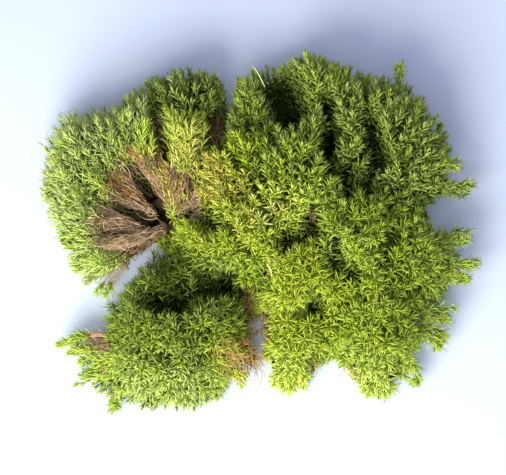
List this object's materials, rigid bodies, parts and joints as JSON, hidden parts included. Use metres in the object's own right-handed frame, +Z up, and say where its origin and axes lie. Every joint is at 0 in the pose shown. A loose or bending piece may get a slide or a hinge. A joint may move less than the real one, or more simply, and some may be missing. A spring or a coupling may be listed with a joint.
{
  "type": "moss clump",
  "caption": "Clump of cushion moss with upright leafy tufts, a torn side that fans out over brown stems, stray shoots at the edge, and a flat cut underside to rest on.",
  "frame": {"origin": "middle of the cut underside, in the plane that the clump rests on", "axes": "+Z up, +X to the right along the clump's length, -Y towards its front edge"},
  "size_m": [0.1216, 0.0976, 0.032],
  "materials": {
    "upright_moss": "matte",
    "fanned_moss": "matte",
    "side_shoot": "matte",
    "brown_stem": "matte"
  },
  "bodies": {
    "root": {"lower_left_tuft": "upright_moss", "front_tuft": "upright_moss", "front_inner_tuft": "upright_moss", "front_right_tuft": "upright_moss", "right_tuft": "upright_moss", "middle_right_tuft": "upright_moss", "right_back_tuft": "upright_moss", "back_right_tuft": "upright_moss", "middle_tuft": "upright_moss", "back_tuft": "upright_moss", "centre_back_tuft": "upright_moss", "centre_left_tuft": "upright_moss", "centre_tuft": "upright_moss", "back_left_tuft": "upright_moss", "left_front_tuft": "fanned_moss", "left_tuft": "fanned_moss", "left_outer_tuft": "fanned_moss", "left_back_tuft": "fanned_moss", "left_inner_tuft": "fanned_moss", "back_stray_shoot": "side_shoot", "right_back_shoot": "side_shoot", "notch_shoot": "side_shoot", "right_upper_shoot": "side_shoot", "right_long_shoot": "side_shoot", "right_lower_shoot": "side_shoot", "front_right_long_shoot": "side_shoot", "front_right_low_shoot": "side_shoot", "front_stray_shoot": "side_shoot", "left_side_shoot": "side_shoot", "left_low_shoot": "side_shoot", "left_stray_shoot": "side_shoot", "rusty_side_shoot": "side_shoot", "long_twig": "brown_stem", "short_twig": "brown_stem"}
  },
  "joints": []
}
